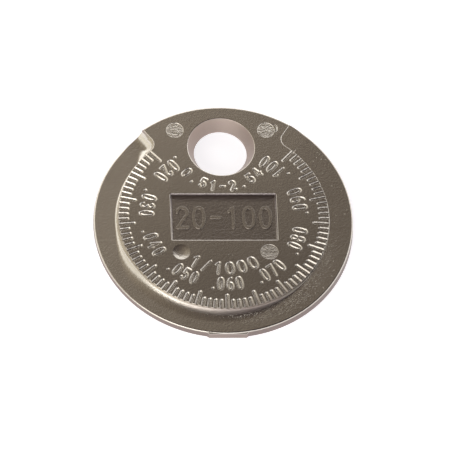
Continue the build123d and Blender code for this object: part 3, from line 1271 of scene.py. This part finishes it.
casting.data.materials.clear()
casting.data.materials.append(nickel("nickel_plate"))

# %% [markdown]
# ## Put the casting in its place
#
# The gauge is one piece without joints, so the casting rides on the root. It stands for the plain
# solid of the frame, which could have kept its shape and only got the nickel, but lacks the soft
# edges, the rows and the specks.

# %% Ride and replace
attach(casting, "root")
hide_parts("gauge_disc")
print(casting.name, "stands for gauge_disc")

# %% [markdown]
# ## The paper
#
# The gauge lies on white paper. A brighter lamp would make any floor white, but also wash out the
# metal. So the paper glows a little for the camera and in reflections, which Light Path tells
# apart, and still takes the gauge's shadow. It lies a hair below the gauge, because two surfaces
# in one plane flicker.

# %% Lay the paper
paper_colour = (0.74, 0.74, 0.76, 1)
paper_glow = (0.98, 0.97, 1.0, 1)
paper_lift = 0.70
paper_roughness = 0.9
paper_side = 4.0
paper_gap = 0.02 * mm

paper = bpy.data.materials.new("white_paper")
paper.use_nodes = True
paper_tree = paper.node_tree
paper_shader = paper_tree.nodes["Principled BSDF"]
paper_shader.inputs["Base Color"].default_value = paper_colour
paper_shader.inputs["Roughness"].default_value = paper_roughness
paper_shader.inputs["Specular IOR Level"].default_value = 0.0
paper_shader.inputs["Emission Color"].default_value = paper_glow
rays = add_node(paper_tree, "ShaderNodeLightPath", (-700, 300)).outputs
seen = combine(paper_tree, "MAXIMUM", rays["Is Camera Ray"], rays["Is Glossy Ray"], (-500, 300))
seen = combine(paper_tree, "MAXIMUM", seen, rays["Is Transmission Ray"], (-300, 300))
lift = combine(paper_tree, "MULTIPLY", seen, paper_lift, (-100, 300))
paper_tree.links.new(lift, paper_shader.inputs["Emission Strength"])

start_fresh()
bpy.ops.mesh.primitive_plane_add(size=paper_side, location=(0, 0, -paper_gap))
floor = bpy.context.object
floor.name = "paper"
floor.data.materials.append(paper)
print("paper", paper_side, "m wide")

# %% [markdown]
# ## The ceiling of the room
#
# A metal shows its surroundings. A flat mirror-like face shows what is overhead, and there the
# room is brown, lighter at the back on the left and darker in front on the right. A photograph of
# a room would do as a world, but a ramp of three colours across it can be read and changed.

# %% Paint the ceiling
world = bpy.data.worlds.new("room")
bpy.context.scene.world = world
world.use_nodes = True
sky = world.node_tree
direction = add_node(sky, "ShaderNodeTexCoord", (-1400, 0)).outputs["Generated"]
light_brown = (0.44, 0.38, 0.30)
brown = (0.186, 0.154, 0.127)
dark_brown = (0.07, 0.055, 0.06)
dark_heading = radians(-30)

half_heading = (0.5 * cos(dark_heading), 0.5 * sin(dark_heading), 0)
across = combine(sky, "ADD", aligned(sky, direction, half_heading, (-1200, 300)), 0.5, (-1000, 300))
ceiling = colour_ramp(sky, across, (0.15, light_brown), (0.75, dark_brown), (-800, 150), [(0.42, brown)])
print("ceiling of", len(sky.nodes), "nodes")

# %% [markdown]
# ## The pale walls low down
#
# Edges and walls of the gauge show the room near the horizon, which is pale, with a warmer tone on
# the left. How high the pale part reaches differs all round: it is lower on the right and at the
# back, and higher in front and on the left. So each line of the list shifts the height at which
# a direction counts, by how far it points to a heading.

# %% Add the pale walls
wall_white = (1.85, 1.83, 1.82)
wall_cream = (1.00, 0.95, 0.83)
wall_edge = {"From Min": 0.47, "From Max": 0.71, "To Min": 1.0, "To Max": 0.0}
level_shifts = [(-40, 1, 0.22), (112, 12, 0.34), (215, 1, -0.06), (-95, 3, -0.14), (70, 4, -0.06)]


def towards(heading, narrowness, spot):
    """How far a direction of the room points to a heading, from 0 to 1, raised to a power."""
    angle = radians(heading)
    share = aligned(sky, direction, (cos(angle), sin(angle), 0), spot)
    kept = combine(sky, "MAXIMUM", share, 0.0, (spot[0] + 150, spot[1]))
    return combine(sky, "POWER", kept, narrowness, (spot[0] + 300, spot[1]))


heights = add_node(sky, "ShaderNodeSeparateXYZ", (-1200, 0))
sky.links.new(direction, heights.inputs[0])
level = heights.outputs["Z"]
for row, (heading, narrowness, shift) in enumerate(level_shifts, 1):
    share = towards(heading, narrowness, (-1200, -150 * row))
    level = combine(sky, "MULTIPLY_ADD", share, shift, (-700, -150 * row), level)
low = add_node(sky, "ShaderNodeMapRange", (-500, -150), interpolation_type="SMOOTHSTEP")
for name, value in wall_edge.items():
    low.inputs[name].default_value = value
sky.links.new(level, low.inputs["Value"])
walls = mixed(sky, towards(180, 2, (-1200, -900)), wall_white, wall_cream, (-500, 150))
room = mixed(sky, low.outputs["Result"], ceiling, walls, (-250, 0))
sky.links.new(room, sky.nodes["Background"].inputs["Color"])
print("room of", len(sky.nodes), "nodes")

# %% [markdown]
# ## The lamps
#
# A window-like panel in front on the left gives the cream light in the grooves and on the walls.
# A weak one overhead, behind the gauge, makes the face a little lighter towards the upper left.
# Both are area lamps, whose soft edges suit a satin metal; a point would leave sharp glints. How
# bright such a panel looks is its radiance, and its power follows from that and its size.

# %% Hang the lamps
def soft_panel(name, spot, size, radiance, colour):
    """An area lamp that faces the gauge and looks as bright as its radiance says."""
    start_fresh()
    bpy.ops.object.light_add(type="AREA", location=spot)
    lamp = bpy.context.object
    lamp.name = name
    lamp.data.shape = "RECTANGLE"
    lamp.data.size, lamp.data.size_y = size
    lamp.data.energy = radiance * pi * size[0] * size[1]
    lamp.data.color = colour
    lamp.rotation_euler = (-lamp.location).to_track_quat("-Z", "Y").to_euler()
    return lamp


window_lamp = soft_panel("window_lamp", (-0.24, -0.35, 0.21), (0.46, 0.22), 1.6, (1.0, 0.97, 0.93))
ceiling_lamp = soft_panel("ceiling_lamp", (-0.17, 0.52, 0.60), (0.55, 0.55), 0.06, (1.0, 0.97, 0.92))
print("lamps:", round(window_lamp.data.energy, 2), "and", round(ceiling_lamp.data.energy, 2), "watts")

# %% [markdown]
# ## The camera
#
# The camera was matched to the photograph by the ends of the lines, the panel's corners and the
# outline. It is far off with a long lens, 59 degrees up, and rolled by 6.5 degrees. Tracking a
# target would lose the roll, so its three axes are worked out and put into its matrix.

# %% Place the camera
image_side = 450
focal_pixels = 5518
sensor_side = 36
camera_distance = 943.3 * mm
camera_azimuth = radians(-97.68)
camera_elevation = radians(59.04)
camera_roll = radians(-6.51)
middle_shift = (1.9, -0.1)

away = Vector((cos(camera_azimuth), sin(camera_azimuth), 0)) * cos(camera_elevation)
back = away + Vector((0, 0, sin(camera_elevation)))
level_right = Vector((-sin(camera_azimuth), cos(camera_azimuth), 0))
level_up = back.cross(level_right)
right = level_right * cos(camera_roll) - level_up * sin(camera_roll)
up = level_right * sin(camera_roll) + level_up * cos(camera_roll)
aim = (right * middle_shift[0] + up * middle_shift[1]) * camera_distance / focal_pixels
spot = back * camera_distance
look_back = (spot - aim).normalized()
look_right = (right - look_back * right.dot(look_back)).normalized()
look_up = look_back.cross(look_right)

start_fresh()
bpy.ops.object.camera_add(location=spot)
camera = bpy.context.object
turn = Matrix((look_right, look_up, look_back)).transposed().to_4x4()
camera.matrix_world = Matrix.Translation(spot) @ turn
camera.data.sensor_width = sensor_side
camera.data.lens = focal_pixels / image_side * sensor_side
camera.data.clip_start = 0.01
bpy.context.scene.camera = camera
bpy.context.scene.view_settings.view_transform = "Standard"
print("camera with a lens of", round(camera.data.lens), "mm")
